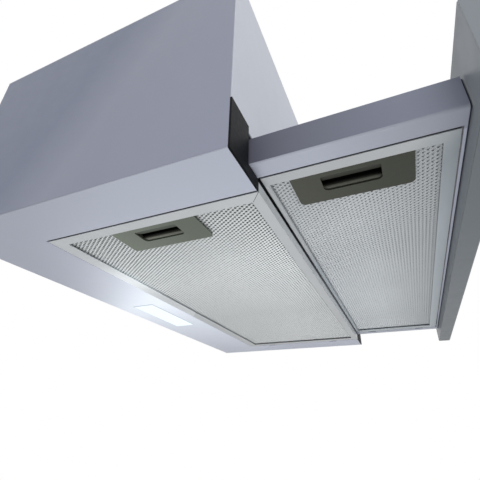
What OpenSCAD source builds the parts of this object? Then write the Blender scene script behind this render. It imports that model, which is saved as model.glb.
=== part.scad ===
// Telescopic built-in range hood, in millimetres.
// The casing hides in a wall cabinet. A drawer with a front panel pulls out of it on slides.
// A rear and a front grease filter hinge down at their far end. A double-inlet blower
// sends the air up through a collar with two non-return flaps.
// X runs along the width, the front faces -Y and +Z is up.
// The origin is the centre of the outer face of the top plate.

/* [Casing] */
// Width of the casing
body_w = 598; // [560:1:680]
// Depth of the casing, front plate to back
body_d = 292; // [285:1:340]
// Height of the casing
body_h = 200; // [196:1:300]
// Thickness of the casing sheet
sheet_t = 1; // [0.8:0.1:1.2]
// Width of the underside margin on each side of the rear filter
side_margin = 48; // [45:1:50]
// Depth of the underside behind the rear filter's opening
rear_strip = 79.6; // [70:0.1:90]
// Height of the lips round the filter openings
lip_h = 8; // [6:0.5:8.5]
// Height of the turned-up outer edge of the bottom frame
upturn_h = 11; // [6:1:14]
// Height of the drawer mouth in the front
mouth_h = 39; // [39:0.5:42]
// Width of the turned-in edges of the casing sheet
return_w = 13; // [8:1:20]
// Depth of the turned-in lower edge of the front plate
front_return = 9; // [4:1:12]
// Distance between the cabinet screws along the width
screw_span_x = 520; // [480:1:540]
// Distance between the cabinet screws along the depth
screw_span_y = 220; // [200:1:240]
// Radius of a cabinet screw hole
cabinet_hole_r = 2.75; // [2:0.25:3.5]

/* [End cheeks] */
// Width of a black end cheek
cheek_w = 29; // [24:1:31]
// Height of a cheek
cheek_h = 44; // [44:0.5:44.5]
// Thickness of the cheek moulding
cheek_t = 1.5; // [1.2:0.1:2]
// How far a cheek stands proud of the front plate
cheek_proud = 0.5; // [0.2:0.1:1]
// Depth of the cheek's guide wall beside the drawer
cheek_guide_d = 20; // [10:1:40]
// Depth of the stiffening rib on a cheek
cheek_rib_d = 7; // [4:1:12]
// Height of a cheek's foot under the drawer
foot_h = 10.4; // [6:0.1:10.5]

/* [Drawer] */
// Height of the drawer's underside over the casing's underside
drawer_z = 12; // [12:0.5:13]
// Height of the drawer's side walls
drawer_h = 24; // [22:0.5:25]
// Distance from the casing's side to the drawer's side wall
drawer_inset = 33.5; // [33:0.5:36]
// Width of the drawer's bottom flange
flange_w = 15.7; // [15:0.1:17]
// Radius of the bend between wall and flange
bend_r = 2.5; // [2:0.5:4]
// How far the drawer pulls out
drawer_travel = 133; // [100:1:134]
// Gap between the casing and the back of the fascia when pushed in
fascia_gap = 1.5; // [1.5:0.1:4]
// Width of the flange strip between the front filter and the fascia
front_strip = 3; // [3:0.5:8]
// Width of the groove between the drawer and the fascia
front_groove = 1.2; // [0.8:0.1:1.4]
// Depth of the drawer's rear crossbar
crossbar_d = 13.5; // [8:0.5:20]
// Gap between the casing's front plane and the crossbar
crossbar_gap = 0.5; // [0.5:0.5:3]

/* [Fascia] */
// Height of the front panel
fascia_h = 60; // [50:1:80]
// Thickness of the front panel
fascia_d = 18; // [18:1:26]
// How far the panel hangs below the casing's underside
fascia_drop = 2; // [0:0.5:6]
// Thickness of an end cap
cap_t = 1.5; // [1:0.5:3]
// Length of the plug of an end cap inside the panel
cap_plug = 4; // [2:0.5:8]
// Radius of the bends of the panel
fascia_bend = 2; // [1.5:0.5:3]

/* [Push buttons] */
// Radius of a button
button_r = 6; // [5:0.5:6]
// Distance between buttons
button_pitch = 24; // [18:1:28]
// How far a button can be pushed
button_travel = 1.5; // [1:0.1:1.5]
// How far a button stands out of its bezel
button_proud = 1.5; // [1.5:0.1:3]
// Distance from the panel's end to the middle of the row of buttons
buttons_inset = 97; // [80:1:140]
// Height of the row of buttons over the casing's underside
buttons_z = 28; // [20:1:30]
// Length of the bezel
bezel_w = 103; // [100:1:110]
// Height of the bezel
bezel_h = 19; // [17:0.5:24]
// Depth of the bezel behind the panel's face
bezel_d = 6; // [4:0.5:8]

/* [Grease filters] */
// Thickness of a filter
filter_t = 9; // [8:0.5:9]
// Wall of the channel that frames a filter
channel_t = 1; // [0.8:0.1:1.2]
// Width of the side channel at the latched end
rail_near = 11; // [10:0.5:13]
// Width of the side channel at the hinged end
rail_side = 11.5; // [11.5:0.5:13]
// Width of the channel at the front edge of the rear filter
rear_rail_front = 9.3; // [6:0.1:14]
// Width of the channel at the back edge of the rear filter
rear_rail_back = 13.4; // [6:0.1:14]
// Width of the channel at the front edge of the front filter
front_rail_front = 9.5; // [6:0.5:14]
// Width of the channel at the back edge of the front filter
front_rail_back = 4; // [3.5:0.5:14]
// Height of the mesh over a filter's underside
mesh_recess = 2.2; // [1.2:0.1:3]
// Gap before and behind a filter
filter_gap = 1; // [0.6:0.1:1.5]
// Gap at the latched end of a filter
latch_gap = 2; // [1.9:0.1:2.5]
// Gap at the hinged end of a filter
hinge_gap = 2; // [1.8:0.1:2.5]
// Pitch of the mesh openings along the width
mesh_pitch_x = 30; // [20:1:40]
// Pitch of the mesh openings along the depth
mesh_pitch_y = 15; // [10:1:20]
// Width of the strand between two mesh openings
mesh_strand = 3; // [2:0.2:4]
// Radius of a hinge tab's curl
curl_r = 2; // [1.5:0.1:2]
// Length of a hinge tab's curl
curl_l = 30; // [20:1:36]
// Width of a hinge tab's web
web_w = 10; // [6:1:14]
// Distance of the hinge axis behind the edge that the tab hooks over
hinge_back = 3; // [3:0.1:3.4]

/* [Filter latches] */
// Width of a handle plate along the hood's width
plate_w = 36; // [34:1:44]
// Length of a handle plate along the hood's depth
plate_l = 85; // [76:1:96]
// Thickness of a handle plate
plate_t = 1; // [1:0.1:1.4]
// Radius of a handle plate's corners
plate_r = 4; // [1:0.5:6]
// Width of the finger slot
slot_w = 18.5; // [17:0.5:19]
// Length of the finger slot
slot_l = 42; // [38:1:44]
// Radius of the slot's corners beside the grip bar
slot_r = 4; // [2:0.5:5]
// Distance from the plate's outer edge to the slot
slot_inset = 4.5; // [4:0.5:5]
// Depth of the ramp that leads a finger into the slot
ramp_d = 3; // [2:0.1:3.2]
// Width of that ramp
ramp_w = 8.7; // [6:0.1:9]
// Radius of the latch's grip bar
grip_r = 2; // [1.6:0.1:2.2]
// Height of the latch's grip bar and its web
grip_h = 7; // [6:0.5:7]
// How far a latch slides
latch_travel = 6; // [4:0.5:6]
// How far a latch reaches past its keeper
latch_reach = 3.2; // [2:0.1:3.2]
// Width of a latch arm
arm_w = 4.8; // [3:0.1:5]
// Thickness of a latch arm
arm_t = 2; // [1.5:0.1:2.2]
// Place of the rear handle behind the casing's front
rear_handle_y = 103.5; // [80:0.5:130]
// Place of the front handle before the casing's front
front_handle_y = 62; // [58:0.5:70]

/* [Slides] */
// Height of a slide
slide_h = 17; // [17:0.5:17.5]
// Width of a slide
slide_w = 10; // [9.5:0.5:10]
// Thickness of a slide's steel
slide_t = 1.2; // [1:0.1:1.3]
// Gap between nested members
slide_gap = 0.4; // [0.3:0.05:0.5]
// Place of the fixed member behind the casing's front
slide_y = 6; // [4:1:20]

/* [Lamp] */
// Length of the lamp's lens
lens_l = 114; // [90:1:140]
// Width of the lamp's lens
lens_w = 33; // [24:1:40]
// Distance from the casing's back to the middle of the lens
lamp_back = 41.5; // [36:0.5:46]
// Height of the lamp housing
lamp_h = 18; // [12:1:24]

/* [Blower] */
// Radius of the wheel
wheel_r = 52; // [46:1:53]
// Radius inside the blades
blade_inner_r = 43.5; // [41:0.5:44]
// Number of blades
blade_n = 28; // [16:1:32]
// Length of the wheel
wheel_l = 88; // [70:1:90]
// Thickness of a blade
blade_t = 1.2; // [1:0.1:2]
// Inner width of the scroll
scroll_w = 100; // [96:1:104]
// Wall of the scroll
scroll_t = 2; // [1.5:0.1:2.5]
// Radius of the scroll at its tongue
scroll_r0 = 56.5; // [56:0.5:57]
// Distance of the wheel's axis behind the outlet's centre
axis_back = 57; // [54:0.5:60]
// Depth of the wheel's axis below the top of the casing
axis_drop = 66; // [65:0.5:70]
// Reach of the motor bracket's arms past the inlet
bracket_reach = 15; // [13:0.5:17]
// Radius of the motor
motor_r = 36; // [30:1:38]
// Length of the motor
motor_l = 58; // [40:1:58]
// Radius of the motor's shaft
shaft_r = 4; // [3:0.5:5]

/* [Outlet] */
// Outer radius of the duct spigot
duct_r = 60; // [50:0.5:62]
// Wall of the spigot
duct_t = 2; // [1.5:0.1:3]
// Height of the spigot over its flange
duct_h = 27; // [20:1:50]
// Side of the square flange
collar_side = 140; // [136:1:150]
// Thickness of the flange
collar_t = 3; // [2:0.5:4]
// Width of the seat inside the spigot
seat_w = 5; // [3:0.5:6]
// Thickness of a flap
flap_t = 1.5; // [1:0.1:2]
// Distance of a flap's hinge from the middle of the collar
flap_axis = 4.5; // [4.5:0.1:6]

/* [Electrics] */
// Length of the control box
box_l = 120; // [90:1:140]
// Distance from the casing's side to the control box
box_inset = 69; // [60:1:80]
// Height of the control box
box_h = 47; // [30:1:60]
// Radius of the motor capacitor
capacitor_r = 16; // [10:1:20]
// Length of the motor capacitor
capacitor_l = 55; // [40:1:70]
// Place of the cable gland behind the middle of the top
gland_back = 54; // [20:1:90]
// Distance from the casing's side to the cable gland
gland_inset = 39; // [30:1:50]
// Radius of the cable gland's thread
gland_r = 8; // [6:0.5:10]
// Radius of the cable bore through the gland
gland_bore_r = 4; // [3:0.5:5]

/* [Hidden] */
$fn = 48;
half_w = body_w / 2;
eps = 1;
// Clearances
side_clear = 0.5;
run_clear = 0.3;
shaft_clear = 0.05;
hole_clear = 0.1;
// Screws
screw_r = 2;
screw_head_r = 4;
screw_head_t = 1.8;
// Colours as the photograph shows them
casing_grey = [0.60, 0.63, 0.70];
sheet_light = [0.72, 0.74, 0.79];
cheek_black = [0.12, 0.13, 0.14];
fascia_grey = [0.45, 0.48, 0.50];
filter_alu = [0.74, 0.76, 0.77];
handle_green = [0.37, 0.38, 0.34];
latch_dark = [0.30, 0.30, 0.28];
steel = [0.62, 0.63, 0.65];
zinc = [0.70, 0.71, 0.72];
black_plastic = [0.10, 0.10, 0.11];
white_plastic = [0.90, 0.90, 0.88];
lamp_white = [0.97, 1.0, 1.0];
board_green = [0.12, 0.35, 0.20];
// Casing
inner_w = half_w - sheet_t;
filter_edge = half_w - side_margin;
opening_back = body_d - rear_strip;
cheek_in = half_w - cheek_w;
mid_y = body_d / 2;
// Drawer
fascia_reach = drawer_travel + fascia_gap;
arm_back = 180;
arm_rear = body_d - arm_back;
slide_l = arm_rear + drawer_travel - slide_y;
fascia_screw_inset = 40;
wall_x = half_w - drawer_inset;
flange_edge = wall_x - flange_w;
drawer_top = drawer_z + drawer_h;
fascia_y = -fascia_reach;
strip_y = fascia_y + front_strip;
tray_y = fascia_y + front_groove;
crossbar_x = wall_x - slide_w - 4.5;
// Filters
rear_filter_y = 0.4;
rear_filter_d = opening_back - filter_gap - rear_filter_y;
front_filter_y = strip_y + filter_gap;
front_filter_d = crossbar_gap - filter_gap - front_filter_y;
tab_notch = web_w + 2;
tab_window = curl_l + 4;
curl_z = sheet_t + run_clear + curl_r;
rear_tabs = [0.21, 0.79];
front_tabs = [0.2, 0.8];
// Latches
plate_x = -filter_edge + latch_gap + rail_near;
pocket_inset = 2;
pocket_t = 1.5;
pocket_h = filter_t + 2;
pocket_w = plate_w - 5;
pocket_l = slot_l + 20;
grip_l = pocket_l - 2 * pocket_t - 1.4;
grip_web = 1.5;
grip_x = plate_x + slot_inset + slot_w - 0.1;
grip_z = plate_t + 0.5;
arm_z = 3.5;
arm_y = grip_l / 2 - arm_w;
arm_clear = 0.5;
// Slides
slide_z = drawer_z + 6.5;
slide_in = wall_x - sheet_t - slide_w;
carrier_y = sheet_t * 2;
carrier_z = 45;
carrier_up = 14;
// Lamp
lens_y = body_d - lamp_back;
// Blower
scroll_growth = 0.12 * body_d;
axis_y = mid_y + axis_back;
axis_z = body_h - axis_drop;
tongue_angle = 115;
sweep = 295;
sweep_step = 5;
inlet_r = blade_inner_r + 3.5;
scroll_half = scroll_w / 2;
scroll_top = body_h - sheet_t;
duct_front = axis_y - scroll_r0 - scroll_growth;
duct_back = axis_y + (scroll_r0 + 3) * cos(tongue_angle) + 4;
outlet_flange_t = 2.5;
screw_reach = collar_side / 2 - 8;
ear_r = 6;
ear_t = 4;
// Outlet
collar_z = body_h + collar_t;
duct_in = duct_r - duct_t;
seat_r = duct_in - seat_w;
seat_z = collar_z + 2;
flap_z = seat_z + 0.4;
pivot_z = flap_z + curl_r;
pivot_r = 1.5;
boss_x = duct_in - 6.5;
// Push buttons
buttons_x = half_w - buttons_inset;
face_y = fascia_y - fascia_d;
bezel_lip = 0.8;
button_flange_t = 1;
stem_r = 2;
stem_l = 2;
bezel_back = face_y + bezel_d;
stem_end = bezel_back + run_clear + button_flange_t + stem_l;
switch_y = stem_end + button_travel + 0.2;
// Electrics
box_x = half_w - box_inset - box_l;
box_y = 60;
box_back = 62;
box_d = body_d - box_y - box_back;
box_wall = 2;

// Points of the scroll's spiral, offset outwards by o, from turn s0 to the outlet
function spiral(o, s0) = [for (s = [s0 : sweep_step : sweep])
    let (r = scroll_r0 + o + scroll_growth * s / sweep, a = tongue_angle - s)
    [axis_y + r * cos(a), axis_z + r * sin(a)]];

// Moves pieces drawn from the casing's front lower edge to the part's own origin
module in_hood() {
    translate([0, -mid_y, -body_h]) children();
}

// Extrudes an outline drawn in Y and Z from x0 to x1
module across(x0, x1) {
    translate([x0, 0, 0]) rotate([90, 0, 90]) linear_extrude(x1 - x0) children();
}

// Extrudes an outline drawn in X and Z from y0 to y1
module along(y0, y1) {
    translate([0, y1, 0]) rotate([90, 0, 0]) linear_extrude(y1 - y0) children();
}

// A block from corner a to corner b
module block(a, b) {
    translate(a) cube(b - a);
}

// A flat rectangle from corner a to corner b
module area(a, b) {
    translate(a) square(b - a);
}

// A flat rectangle with round corners
module round_area(a, b, r) {
    area([a.x + r, a.y], [b.x - r, b.y]);
    area([a.x, a.y + r], [b.x, b.y - r]);
    for (x = [a.x + r, b.x - r], y = [a.y + r, b.y - r])
        translate([x, y]) circle(r);
}

// A round bar along X
module bar_x(x0, x1, y, z, r) {
    translate([x0, y, z]) rotate([0, 90, 0]) cylinder(h = x1 - x0, r = r);
}

// A round bar along Y
module bar_y(y0, y1, x, z, r) {
    translate([x, y1, z]) rotate([90, 0, 0]) cylinder(h = y1 - y0, r = r);
}

// Side walls and back in one bent sheet, with turned-in edges at the front and the top
module casing_shell() {
    top = body_h - sheet_t;
    color(casing_grey) in_hood() {
        translate([0, 0, sheet_t]) linear_extrude(top - sheet_t) difference() {
            area([-half_w, sheet_t], [half_w, body_d]);
            area([-inner_w, -eps], [inner_w, body_d - sheet_t]);
        }
        for (side = [0, 1]) mirror([side, 0, 0]) {
            block([inner_w - return_w, sheet_t, cheek_h + 1], [inner_w, 2 * sheet_t, top]);
            block([inner_w - return_w, 2 * sheet_t, top - sheet_t], [inner_w, body_d - sheet_t, top]);
        }
        block([-inner_w, body_d - sheet_t - return_w, top - sheet_t], [inner_w, body_d - sheet_t, top]);
    }
}

// Flat top with the outlet, the cabinet screw holes and the gland hole
module top_plate() {
    color(sheet_light) in_hood() translate([0, 0, body_h - sheet_t]) linear_extrude(sheet_t) difference() {
        area([-half_w, 0], [half_w, body_d]);
        translate([0, mid_y]) circle(seat_r, $fn = 96);
        for (x = [-1, 1], y = [-1, 1]) {
            translate([x * screw_span_x / 2, mid_y + y * screw_span_y / 2]) circle(cabinet_hole_r);
            translate([x * screw_reach, mid_y + y * screw_reach]) circle(screw_r + hole_clear);
        }
        translate(gland_place()) circle(gland_r + hole_clear);
    }
}

// Place of the cable gland on the top plate
function gland_place() = [half_w - gland_inset, mid_y + gland_back];

// Front sheet over the drawer mouth, deeper between the cheeks, with a turned-in lower edge
module front_plate() {
    color(sheet_light) in_hood() {
        along(0, sheet_t) {
            area([-half_w, cheek_h], [half_w, body_h - sheet_t]);
            area([-cheek_in, mouth_h], [cheek_in, body_h / 2]);
        }
        block([-crossbar_x, sheet_t, mouth_h], [crossbar_x, sheet_t + front_return, mouth_h + sheet_t]);
    }
}

// Underside sheet round the rear filter, with lips, latch slots, hinge notches and the lamp hole
module bottom_frame() {
    lip_top = sheet_t + lip_h;
    color(sheet_light) in_hood() {
        linear_extrude(sheet_t) difference() {
            area([-half_w, sheet_t], [half_w, body_d]);
            area([-filter_edge, -eps], [filter_edge, opening_back]);
            area([-lens_l / 2 - side_clear, lens_y - lens_w / 2 - side_clear],
                [lens_l / 2 + side_clear, lens_y + lens_w / 2 + side_clear]);
            hinge_notches(filter_edge, rear_filter_y, rear_filter_d, rear_tabs);
        }
        keeper_lip(-filter_edge, sheet_t, opening_back, rear_handle_y);
        hinge_lip(filter_edge, sheet_t, opening_back, rear_filter_y, rear_filter_d, rear_tabs);
        block([-filter_edge - sheet_t, opening_back, 0],
            [filter_edge + sheet_t, opening_back + sheet_t, lip_top]);
        for (side = [0, 1]) mirror([side, 0, 0])
            block([inner_w - sheet_t, 2 * sheet_t, 0], [inner_w, body_d - sheet_t, sheet_t + upturn_h]);
        block([-inner_w, body_d - 2 * sheet_t, 0], [inner_w, body_d - sheet_t, sheet_t + upturn_h]);
    }
}

// Notches in a sheet that a filter's hinge tabs swing through
module hinge_notches(edge, y0, d, tabs) {
    for (t = tabs)
        area([edge - eps, y0 + d * t - tab_notch / 2], [edge + hinge_back + 0.5, y0 + d * t + tab_notch / 2]);
}

// Lip along the latched edge of an opening, with a slot for each latch arm
module keeper_lip(edge, y0, y1, handle_y) {
    difference() {
        block([edge - sheet_t, y0, 0], [edge, y1, sheet_t + lip_h]);
        arm_slots(edge - sheet_t - eps, edge + eps, handle_y);
    }
}

// Lip along the hinged edge of an opening, open at each hinge tab
module hinge_lip(edge, y0, y1, filter_y, d, tabs) {
    difference() {
        block([edge, y0, 0], [edge + sheet_t, y1, sheet_t + lip_h]);
        for (t = tabs)
            block([edge - eps, filter_y + d * t - tab_window / 2, sheet_t],
                [edge + 2 * sheet_t, filter_y + d * t + tab_window / 2, sheet_t + lip_h + eps]);
        for (t = tabs)
            block([edge - eps, filter_y + d * t - tab_notch / 2, -eps],
                [edge + 2 * sheet_t, filter_y + d * t + tab_notch / 2, sheet_t + eps]);
    }
}

// Slots that the two latch arms pass through
module arm_slots(x0, x1, handle_y) {
    for (side = [-1, 1])
        block([x0, handle_y + side * (arm_y + arm_w / 2) - arm_w / 2 - arm_clear, arm_z - arm_clear],
            [x1, handle_y + side * (arm_y + arm_w / 2) + arm_w / 2 + arm_clear, arm_z + arm_t + arm_clear]);
}

// Black moulding that closes the casing's front corner beside the drawer
module cheek() {
    color(cheek_black) in_hood() {
        block([-half_w, -cheek_proud, 0], [-cheek_in, sheet_t, cheek_h]);
        block([-cheek_in, 0, 0], [-filter_edge + run_clear, sheet_t, foot_h]);
        block([-cheek_in - cheek_t, sheet_t, sheet_t], [-cheek_in, cheek_guide_d, cheek_h]);
        block([-inner_w, sheet_t, cheek_h - cheek_t], [-cheek_in - cheek_t, sheet_t + cheek_rib_d, cheek_h]);
    }
}

module cheek_left() {
    cheek();
}

module cheek_right() {
    mirror([1, 0, 0]) cheek();
}

// Folded angle that hangs the fixed slide member from the side wall, over the drawer's arm
module rail_carrier() {
    color(zinc) in_hood() along(carrier_y, body_d - 2 * sheet_t) {
        area([-inner_w, carrier_z], [-inner_w + sheet_t, carrier_z + carrier_up]);
        area([-inner_w, carrier_z], [-slide_in + sheet_t, carrier_z + sheet_t]);
        area([-slide_in, slide_z], [-slide_in + sheet_t, carrier_z + sheet_t]);
    }
}

module rail_carrier_left() {
    rail_carrier();
}

module rail_carrier_right() {
    mirror([1, 0, 0]) rail_carrier();
}

// Fixed slide member, screwed to its carrier, open towards the drawer's wall
module rail_fixed() {
    color(steel) in_hood() along(slide_y, slide_y + slide_l) difference() {
        area([-slide_in - slide_w + side_clear, slide_z], [-slide_in, slide_z + slide_h]);
        area([-slide_in - slide_w, slide_z + slide_t], [-slide_in - slide_t, slide_z + slide_h - slide_t]);
    }
}

module rail_fixed_left() {
    rail_fixed();
}

module rail_fixed_right() {
    mirror([1, 0, 0]) rail_fixed();
}

// Middle slide member, nested in the fixed one, half drawn out
module rail_middle() {
    step = slide_t + slide_gap;
    y0 = slide_y - drawer_travel / 2;
    color(zinc) in_hood() along(y0, y0 + slide_l) difference() {
        area([-slide_in - slide_w + step, slide_z + step], [-slide_in - step, slide_z + slide_h - step]);
        area([-slide_in - slide_w, slide_z + step + slide_t],
            [-slide_in - step - slide_t, slide_z + slide_h - step - slide_t]);
    }
}

module rail_middle_left() {
    rail_middle();
}

module rail_middle_right() {
    mirror([1, 0, 0]) rail_middle();
}

// Slide member riveted to the drawer's wall, nested in the middle one
module rail_drawer() {
    step = 2 * (slide_t + slide_gap);
    color(steel) in_hood() along(slide_y - drawer_travel, slide_y - drawer_travel + slide_l) difference() {
        area([-slide_in - slide_w, slide_z + step], [-slide_in - step - slide_t, slide_z + slide_h - step]);
        area([-slide_in - slide_w + slide_t, slide_z + step + slide_t],
            [-slide_in, slide_z + slide_h - step - slide_t]);
    }
}

module rail_drawer_left() {
    rail_drawer();
}

module rail_drawer_right() {
    mirror([1, 0, 0]) rail_drawer();
}

// Section of the drawer's side: a wall and a bottom flange joined by a round bend
module side_section() {
    area([-wall_x, drawer_z + bend_r], [-wall_x + sheet_t, drawer_top]);
    area([-wall_x + bend_r, drawer_z], [-flange_edge, drawer_z + sheet_t]);
    intersection() {
        translate([-wall_x + bend_r, drawer_z + bend_r]) difference() {
            circle(bend_r);
            circle(bend_r - sheet_t);
        }
        area([-wall_x, drawer_z], [-wall_x + bend_r, drawer_z + bend_r]);
    }
}

// Drawer tray: two side arms, the front strip and wall, and the lips round the front filter
module drawer_frame() {
    z1 = drawer_z + sheet_t;
    color(sheet_light) in_hood() {
        difference() {
            for (side = [0, 1]) mirror([side, 0, 0]) along(tray_y, arm_rear) side_section();
            translate([0, 0, drawer_z - eps]) linear_extrude(2 * eps + sheet_t)
                hinge_notches(flange_edge, front_filter_y, front_filter_d, front_tabs);
        }
        block([-flange_edge, tray_y, drawer_z], [flange_edge, strip_y, drawer_z + sheet_t]);
        difference() {
            union() {
                block([-wall_x + bend_r, fascia_y, z1], [wall_x - bend_r, fascia_y + sheet_t, drawer_top]);
                block([-wall_x + bend_r, fascia_y, z1], [wall_x - bend_r, tray_y + sheet_t, z1 + sheet_t]);
            }
            fascia_screw_places() bar_y(fascia_y - eps, fascia_y + sheet_t + eps, 0, 0, screw_r + hole_clear);
        }
        translate([0, 0, drawer_z]) {
            keeper_lip(-flange_edge, strip_y, crossbar_gap, -front_handle_y);
            hinge_lip(flange_edge, strip_y, crossbar_gap, front_filter_y, front_filter_d, front_tabs);
        }
    }
}

// Places of the screws that hold the fascia to the drawer
module fascia_screw_places() {
    for (x = [-1, -0.35, 0.35, 1])
        translate([x * (wall_x - fascia_screw_inset), 0, drawer_z + drawer_h * 0.7]) children();
}

// Rear crossbar that ties the drawer's arms together
module drawer_crossbar() {
    y1 = crossbar_gap + crossbar_d;
    z0 = drawer_z + sheet_t;
    color(black_plastic) in_hood() {
        block([-wall_x + bend_r + 1, crossbar_gap, z0], [wall_x - bend_r - 1, y1, z0 + sheet_t]);
        block([-crossbar_x, y1 - sheet_t, z0], [crossbar_x, y1, drawer_top]);
    }
}

// Front panel: one sheet bent round the top, the face and the bottom
module fascia_shell() {
    color(fascia_grey) in_hood() difference() {
        across(-half_w + cap_t, half_w - cap_t) difference() {
            round_area([face_y, -fascia_drop],
                [fascia_y + 2 * fascia_bend, fascia_h - fascia_drop], fascia_bend);
            round_area([face_y + sheet_t, -fascia_drop + sheet_t],
                [fascia_y + 3 * fascia_bend, fascia_h - fascia_drop - sheet_t], fascia_bend - sheet_t + 0.1);
            area([fascia_y, -fascia_drop - eps], [fascia_y + 4 * fascia_bend, fascia_h + eps]);
        }
        block([buttons_x - bezel_w / 2 - run_clear, face_y - eps, buttons_z - bezel_h / 2 - run_clear],
            [buttons_x + bezel_w / 2 + run_clear, face_y + 2 * sheet_t, buttons_z + bezel_h / 2 + run_clear]);
    }
}

// Flat sheet that closes the back of the panel and takes the drawer's screws
module fascia_back() {
    color(fascia_grey) in_hood() difference() {
        block([-half_w + cap_t, fascia_y - sheet_t, -fascia_drop + sheet_t],
            [half_w - cap_t, fascia_y, fascia_h - fascia_drop - sheet_t]);
        fascia_screw_places() bar_y(fascia_y - sheet_t - eps, fascia_y + eps, 0, 0, screw_r + hole_clear);
    }
}

// End cap of the panel: an outer plate and a plug inside the bent sheet
module fascia_cap() {
    gap = sheet_t + run_clear;
    color(fascia_grey) in_hood() {
        across(-half_w, -half_w + cap_t)
            round_area([face_y, -fascia_drop], [fascia_y, fascia_h - fascia_drop], fascia_bend);
        across(-half_w + cap_t, -half_w + cap_t + cap_plug) difference() {
            area([face_y + gap, -fascia_drop + gap], [fascia_y - gap, fascia_h - fascia_drop - gap]);
            area([face_y + gap + cap_t, -fascia_drop + gap + cap_t],
                [fascia_y - gap - cap_t, fascia_h - fascia_drop - gap - cap_t]);
        }
    }
}

module fascia_cap_left() {
    fascia_cap();
}

module fascia_cap_right() {
    mirror([1, 0, 0]) fascia_cap();
}

// Place of push button i along the width
function button_x(i) = buttons_x + (i - 1.5) * button_pitch;

// Bezel that guides the push buttons in the panel
module button_bezel() {
    lip = 2.5;
    color(black_plastic) in_hood() difference() {
        union() {
            along(face_y - bezel_lip, face_y)
                round_area([buttons_x - bezel_w / 2 - lip, buttons_z - bezel_h / 2 - lip],
                    [buttons_x + bezel_w / 2 + lip, buttons_z + bezel_h / 2 + lip], lip + 1);
            along(face_y, bezel_back) area([buttons_x - bezel_w / 2, buttons_z - bezel_h / 2],
                [buttons_x + bezel_w / 2, buttons_z + bezel_h / 2]);
        }
        for (i = [0 : 3])
            bar_y(face_y - 2 * bezel_lip, bezel_back + eps, button_x(i), buttons_z, button_r + run_clear);
    }
}

// Push button i: a round cap, a flange that keeps it in and a stem that presses the switch
module push_button(i) {
    x = button_x(i);
    flange_y = bezel_back + run_clear;
    color(white_plastic) in_hood() {
        bar_y(face_y - bezel_lip - button_proud, flange_y, x, buttons_z, button_r);
        bar_y(flange_y, flange_y + button_flange_t, x, buttons_z, button_r + 1.6);
        bar_y(flange_y + button_flange_t, stem_end, x, buttons_z, stem_r);
    }
}

module button_light() {
    push_button(0);
}

module button_low() {
    push_button(1);
}

module button_medium() {
    push_button(2);
}

module button_high() {
    push_button(3);
}

// Board with one small switch behind each button, on four posts
module button_board() {
    board_t = 1.6;
    switch_w = 6;
    board_y = switch_y + 2;
    post_r = 3;
    color(board_green) in_hood() {
        along(board_y, board_y + board_t) area([buttons_x - bezel_w / 2 - 4, buttons_z - bezel_h / 2 - 4],
            [buttons_x + bezel_w / 2 + 4, buttons_z + bezel_h / 2 + 4]);
        for (i = [0 : 3])
            block([button_x(i) - switch_w / 2, switch_y, buttons_z - switch_w / 2],
                [button_x(i) + switch_w / 2, board_y, buttons_z + switch_w / 2]);
        for (x = [-1, 1], z = [-1, 1])
            bar_y(board_y + board_t, fascia_y - sheet_t,
                buttons_x + x * bezel_w / 2, buttons_z + z * bezel_h / 2, post_r);
    }
}

// Filter frame of folded channel, with two curled hinge tabs at its far end.
// edge is the distance of the hinge edge from the middle, x0 the near end.
module filter_frame(x0, edge, y0, d, rails, tabs, handle_y) {
    x1 = edge - hinge_gap;
    y1 = y0 + d;
    color(filter_alu) {
        difference() {
            block([x0, y0, 0], [x1, y1, filter_t]);
            block([x0 + channel_t, y0 + channel_t, channel_t],
                [x1 - channel_t, y1 - channel_t, filter_t - channel_t]);
            block([plate_x, y0 + rails[0], -eps], [x1 - rail_side, y1 - rails[1], filter_t + eps]);
            arm_slots(x0 - eps, x0 + channel_t + eps, handle_y);
        }
        for (t = tabs) {
            y = y0 + d * t;
            block([x1 - channel_t, y - web_w / 2, curl_z - channel_t / 2],
                [edge + hinge_back, y + web_w / 2, curl_z + channel_t / 2]);
            bar_y(y - curl_l / 2, y + curl_l / 2, edge + hinge_back, curl_z, curl_r);
        }
    }
}

// Expanded metal pack inside a filter frame, cut out round the latch pocket
module filter_mesh(x0, edge, y0, d, rails, handle_y) {
    gap = channel_t + 0.2;
    x1 = edge - hinge_gap;
    nx = floor((x1 - plate_x - rail_side - mesh_pitch_x) / mesh_pitch_x);
    ny = floor((d - rails[0] - rails[1] - mesh_pitch_y) / (mesh_pitch_y / 2));
    start_x = (plate_x + x1 - rail_side - nx * mesh_pitch_x) / 2;
    start_y = y0 + (rails[0] + d - rails[1] - ny * mesh_pitch_y / 2) / 2;
    mesh_t = filter_t - channel_t - mesh_recess;
    color(filter_alu) translate([0, 0, mesh_recess]) linear_extrude(mesh_t) difference() {
        area([x0 + gap, y0 + gap], [x1 - gap, y0 + d - gap]);
        area([plate_x + pocket_inset - side_clear, handle_y - pocket_l / 2 - side_clear],
            [plate_x + pocket_inset + pocket_w + side_clear, handle_y + pocket_l / 2 + side_clear]);
        area([x0, handle_y - arm_y - arm_w - arm_clear],
            [plate_x + pocket_inset, handle_y + arm_y + arm_w + arm_clear]);
        for (j = [0 : ny], i = [0 : nx - (j % 2)]) {
            x = start_x + mesh_pitch_x * (i + (j % 2) / 2);
            y = start_y + mesh_pitch_y * j / 2;
            beside = x > plate_x + plate_w + mesh_pitch_x / 2;
            if (beside || abs(y - handle_y) > plate_l / 2 + mesh_pitch_y / 2)
                translate([x, y]) mesh_opening();
        }
    }
}

// One diamond-shaped opening of the expanded metal
module mesh_opening() {
    a = mesh_pitch_x / 2 - mesh_strand;
    b = mesh_pitch_y / 2 - mesh_strand / 2;
    polygon([[-a, 0], [0, -b], [a, 0], [0, b]]);
}

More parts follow.
